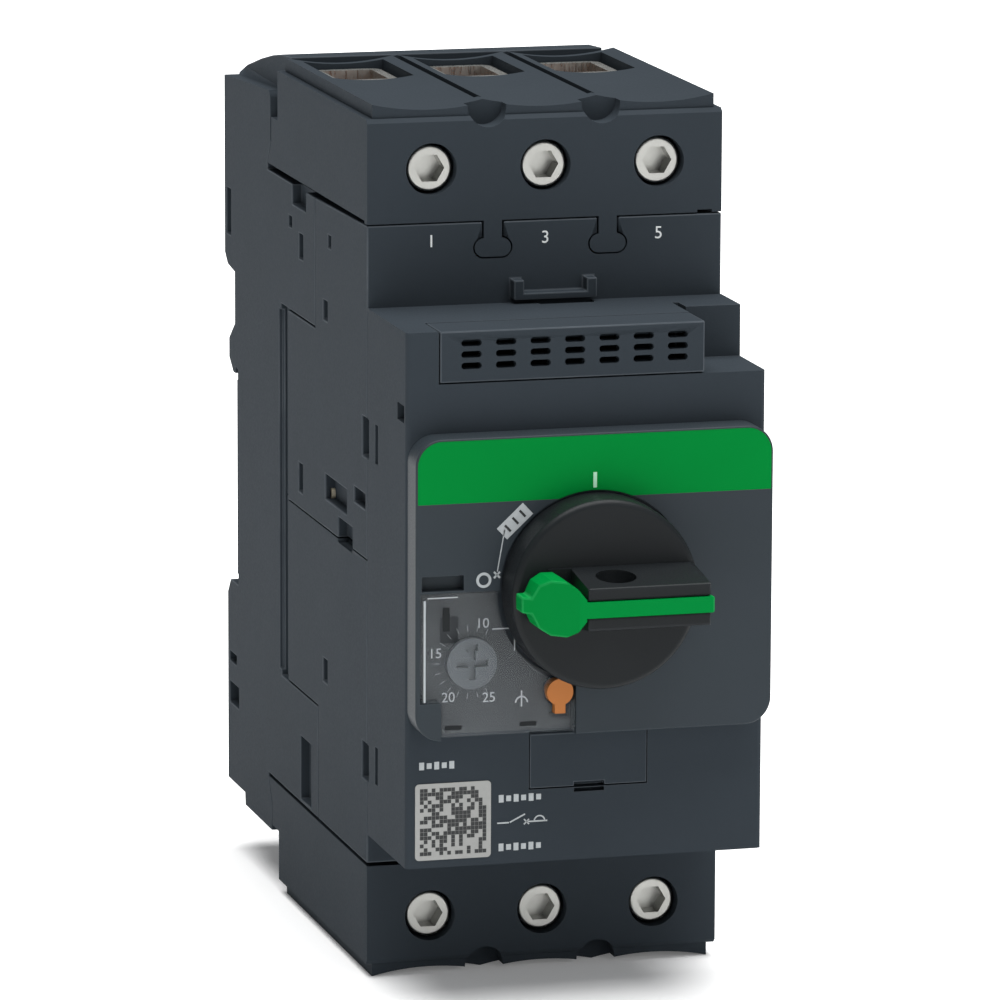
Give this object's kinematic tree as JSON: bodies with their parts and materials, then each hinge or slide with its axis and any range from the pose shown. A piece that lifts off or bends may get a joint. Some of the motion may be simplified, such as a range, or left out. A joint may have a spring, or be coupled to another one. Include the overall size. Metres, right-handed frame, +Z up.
{
  "type": "motor protection breaker",
  "caption": "Compact rotary-handle motor protection breaker for rail mounting, with shrouded screw terminals above and below, a current setting dial under a clear lid and a test button.",
  "frame": {"origin": "centre of the seat that rests on the 35 mm mounting rail", "axes": "+Z up, -Y towards the handle (front), +X to the right of a person facing the front"},
  "size_m": [0.055, 0.1365, 0.1332],
  "materials": {
    "charcoal_plastic": "fine spark-eroded texture",
    "black_plastic": "satin",
    "fascia_plastic": "fine satin",
    "green_plastic": "satin",
    "lug_green": "satin",
    "orange_plastic": "satin",
    "clear_lid": "tinted clear moulding",
    "dial_plastic": "satin",
    "scale_print": "printed",
    "screw_steel": "zinc plated",
    "cage_steel": "zinc plated",
    "sheet_steel": "zinc plated sheet",
    "spring_steel": "drawn wire",
    "copper": "tinned copper",
    "bimetal": "rolled strip",
    "natural_nylon": "moulded",
    "label_white": "matt label"
  },
  "bodies": {
    "housing": {"rear_base": "charcoal_plastic", "contact_housing": "charcoal_plastic", "trip_housing": "charcoal_plastic", "front_cover": "charcoal_plastic", "upper_terminal_block": "charcoal_plastic", "lower_terminal_block": "charcoal_plastic", "vent_grille": "charcoal_plastic", "fascia": "fascia_plastic", "green_band": "green_plastic", "scale_plate": "scale_print", "test_spring": "spring_steel", "mechanism_frame": "sheet_steel", "latch_spring": "spring_steel", "line_conductor_1": "copper", "load_conductor_1": "copper", "coil_1": "copper", "line_conductor_2": "copper", "load_conductor_2": "copper", "coil_2": "copper", "line_conductor_3": "copper", "load_conductor_3": "copper", "coil_3": "copper", "bobbins": "natural_nylon", "magnet_yokes": "sheet_steel", "heater_strips": "bimetal", "load_contacts": "copper", "contact_springs": "spring_steel", "arc_chutes": "sheet_steel", "housing_screws": "screw_steel", "rating_label": "label_white"},
    "knob": {"knob": "black_plastic", "knob_shaft": "sheet_steel", "drive_cam": "natural_nylon"},
    "lock_lug": {"lock_lug": "lug_green"},
    "contact_carrier": {"contact_carrier": "natural_nylon", "contact_bridge_1": "copper", "contact_bridge_2": "copper", "contact_bridge_3": "copper"},
    "setting_dial": {"setting_dial": "dial_plastic"},
    "dial_cover": {"dial_cover": "clear_lid"},
    "test_button": {"test_button": "orange_plastic"},
    "trip_bar": {"trip_bar": "natural_nylon"},
    "rail_latch": {"rail_latch": "black_plastic"},
    "accessory_flap": {"accessory_flap": "charcoal_plastic"},
    "plunger_1": {"plunger_1": "sheet_steel"},
    "line_cage_1": {"line_cage_1": "cage_steel"},
    "line_screw_1": {"line_screw_1": "screw_steel"},
    "load_cage_1": {"load_cage_1": "cage_steel"},
    "load_screw_1": {"load_screw_1": "screw_steel"},
    "plunger_2": {"plunger_2": "sheet_steel"},
    "line_cage_2": {"line_cage_2": "cage_steel"},
    "line_screw_2": {"line_screw_2": "screw_steel"},
    "load_cage_2": {"load_cage_2": "cage_steel"},
    "load_screw_2": {"load_screw_2": "screw_steel"},
    "plunger_3": {"plunger_3": "sheet_steel"},
    "line_cage_3": {"line_cage_3": "cage_steel"},
    "line_screw_3": {"line_screw_3": "screw_steel"},
    "load_cage_3": {"load_cage_3": "cage_steel"},
    "load_screw_3": {"load_screw_3": "screw_steel"}
  },
  "joints": [
    {"name": "handle_turn", "type": "hinge", "parent": "housing", "child": "knob", "pos_m": [0, -0.11, 0.0028], "axis": [0, 1, 0], "range_deg": [0, 90]},
    {"name": "contact_travel", "type": "slide", "parent": "housing", "child": "contact_carrier", "axis": [0, -1, 0], "range_m": [0, 0.004]},
    {"name": "lock_lug_slide", "type": "slide", "parent": "knob", "child": "lock_lug", "axis": [0, -1, 0], "range_m": [0, 0.008]},
    {"name": "setting_turn", "type": "hinge", "parent": "housing", "child": "setting_dial", "pos_m": [-0.0183, -0.109, -0.0081], "axis": [0, -1, 0], "range_deg": [-120, 120]},
    {"name": "dial_cover_hinge", "type": "hinge", "parent": "housing", "child": "dial_cover", "pos_m": [-0.0147, -0.1107, -0.018], "axis": [1, 0, 0], "range_deg": [0, 110]},
    {"name": "test_press", "type": "slide", "parent": "housing", "child": "test_button", "axis": [0, 1, 0], "range_m": [0, 0.0015], "stiffness_N_per_m": 300},
    {"name": "trip_turn", "type": "hinge", "parent": "housing", "child": "trip_bar", "pos_m": [0, -0.057, 0.008], "axis": [1, 0, 0], "range_deg": [0, 4.3]},
    {"name": "rail_latch_slide", "type": "slide", "parent": "housing", "child": "rail_latch", "axis": [0, 0, -1], "range_m": [0, 0.003], "stiffness_N_per_m": 1500, "deforming": ["latch_spring"]},
    {"name": "flap_hinge", "type": "hinge", "parent": "housing", "child": "accessory_flap", "pos_m": [0.0005, -0.106, -0.0201], "axis": [1, 0, 0], "range_deg": [-80, 0]},
    {"name": "plunger_stroke_1", "type": "slide", "parent": "housing", "child": "plunger_1", "axis": [0, -1, 0], "range_m": [0, 0.0015], "stiffness_N_per_m": 120},
    {"name": "line_screw_turn_1", "type": "hinge", "parent": "housing", "child": "line_screw_1", "pos_m": [-0.01763, -0.08, 0.0615], "axis": [0, 1, 0], "range_deg": [0, 1440]},
    {"name": "line_cage_travel_1", "type": "slide", "parent": "housing", "child": "line_cage_1", "axis": [0, -1, 0], "range_m": [0, 0.004]},
    {"name": "load_screw_turn_1", "type": "hinge", "parent": "housing", "child": "load_screw_1", "pos_m": [-0.01763, -0.08, -0.05265], "axis": [0, 1, 0], "range_deg": [0, 1440]},
    {"name": "load_cage_travel_1", "type": "slide", "parent": "housing", "child": "load_cage_1", "axis": [0, -1, 0], "range_m": [0, 0.004]},
    {"name": "plunger_stroke_2", "type": "slide", "parent": "housing", "child": "plunger_2", "axis": [0, -1, 0], "range_m": [0, 0.0015], "stiffness_N_per_m": 120},
    {"name": "line_screw_turn_2", "type": "hinge", "parent": "housing", "child": "line_screw_2", "pos_m": [0, -0.08, 0.0615], "axis": [0, 1, 0], "range_deg": [0, 1440]},
    {"name": "line_cage_travel_2", "type": "slide", "parent": "housing", "child": "line_cage_2", "axis": [0, -1, 0], "range_m": [0, 0.004]},
    {"name": "load_screw_turn_2", "type": "hinge", "parent": "housing", "child": "load_screw_2", "pos_m": [0, -0.08, -0.05265], "axis": [0, 1, 0], "range_deg": [0, 1440]},
    {"name": "load_cage_travel_2", "type": "slide", "parent": "housing", "child": "load_cage_2", "axis": [0, -1, 0], "range_m": [0, 0.004]},
    {"name": "plunger_stroke_3", "type": "slide", "parent": "housing", "child": "plunger_3", "axis": [0, -1, 0], "range_m": [0, 0.0015], "stiffness_N_per_m": 120},
    {"name": "line_screw_turn_3", "type": "hinge", "parent": "housing", "child": "line_screw_3", "pos_m": [0.01763, -0.08, 0.0615], "axis": [0, 1, 0], "range_deg": [0, 1440]},
    {"name": "line_cage_travel_3", "type": "slide", "parent": "housing", "child": "line_cage_3", "axis": [0, -1, 0], "range_m": [0, 0.004]},
    {"name": "load_screw_turn_3", "type": "hinge", "parent": "housing", "child": "load_screw_3", "pos_m": [0.01763, -0.08, -0.05265], "axis": [0, 1, 0], "range_deg": [0, 1440]},
    {"name": "load_cage_travel_3", "type": "slide", "parent": "housing", "child": "load_cage_3", "axis": [0, -1, 0], "range_m": [0, 0.004]}
  ],
  "couplings": [
    {"joint": "contact_travel", "follows": "handle_turn", "m_per_rad": 0.0025465},
    {"joint": "trip_turn", "follows": "test_press", "rad_per_m": 49},
    {"joint": "line_screw_turn_1", "follows": "line_cage_travel_1", "rad_per_m": 6283.2},
    {"joint": "load_screw_turn_1", "follows": "load_cage_travel_1", "rad_per_m": 6283.2},
    {"joint": "line_screw_turn_2", "follows": "line_cage_travel_2", "rad_per_m": 6283.2},
    {"joint": "load_screw_turn_2", "follows": "load_cage_travel_2", "rad_per_m": 6283.2},
    {"joint": "line_screw_turn_3", "follows": "line_cage_travel_3", "rad_per_m": 6283.2},
    {"joint": "load_screw_turn_3", "follows": "load_cage_travel_3", "rad_per_m": 6283.2}
  ]
}
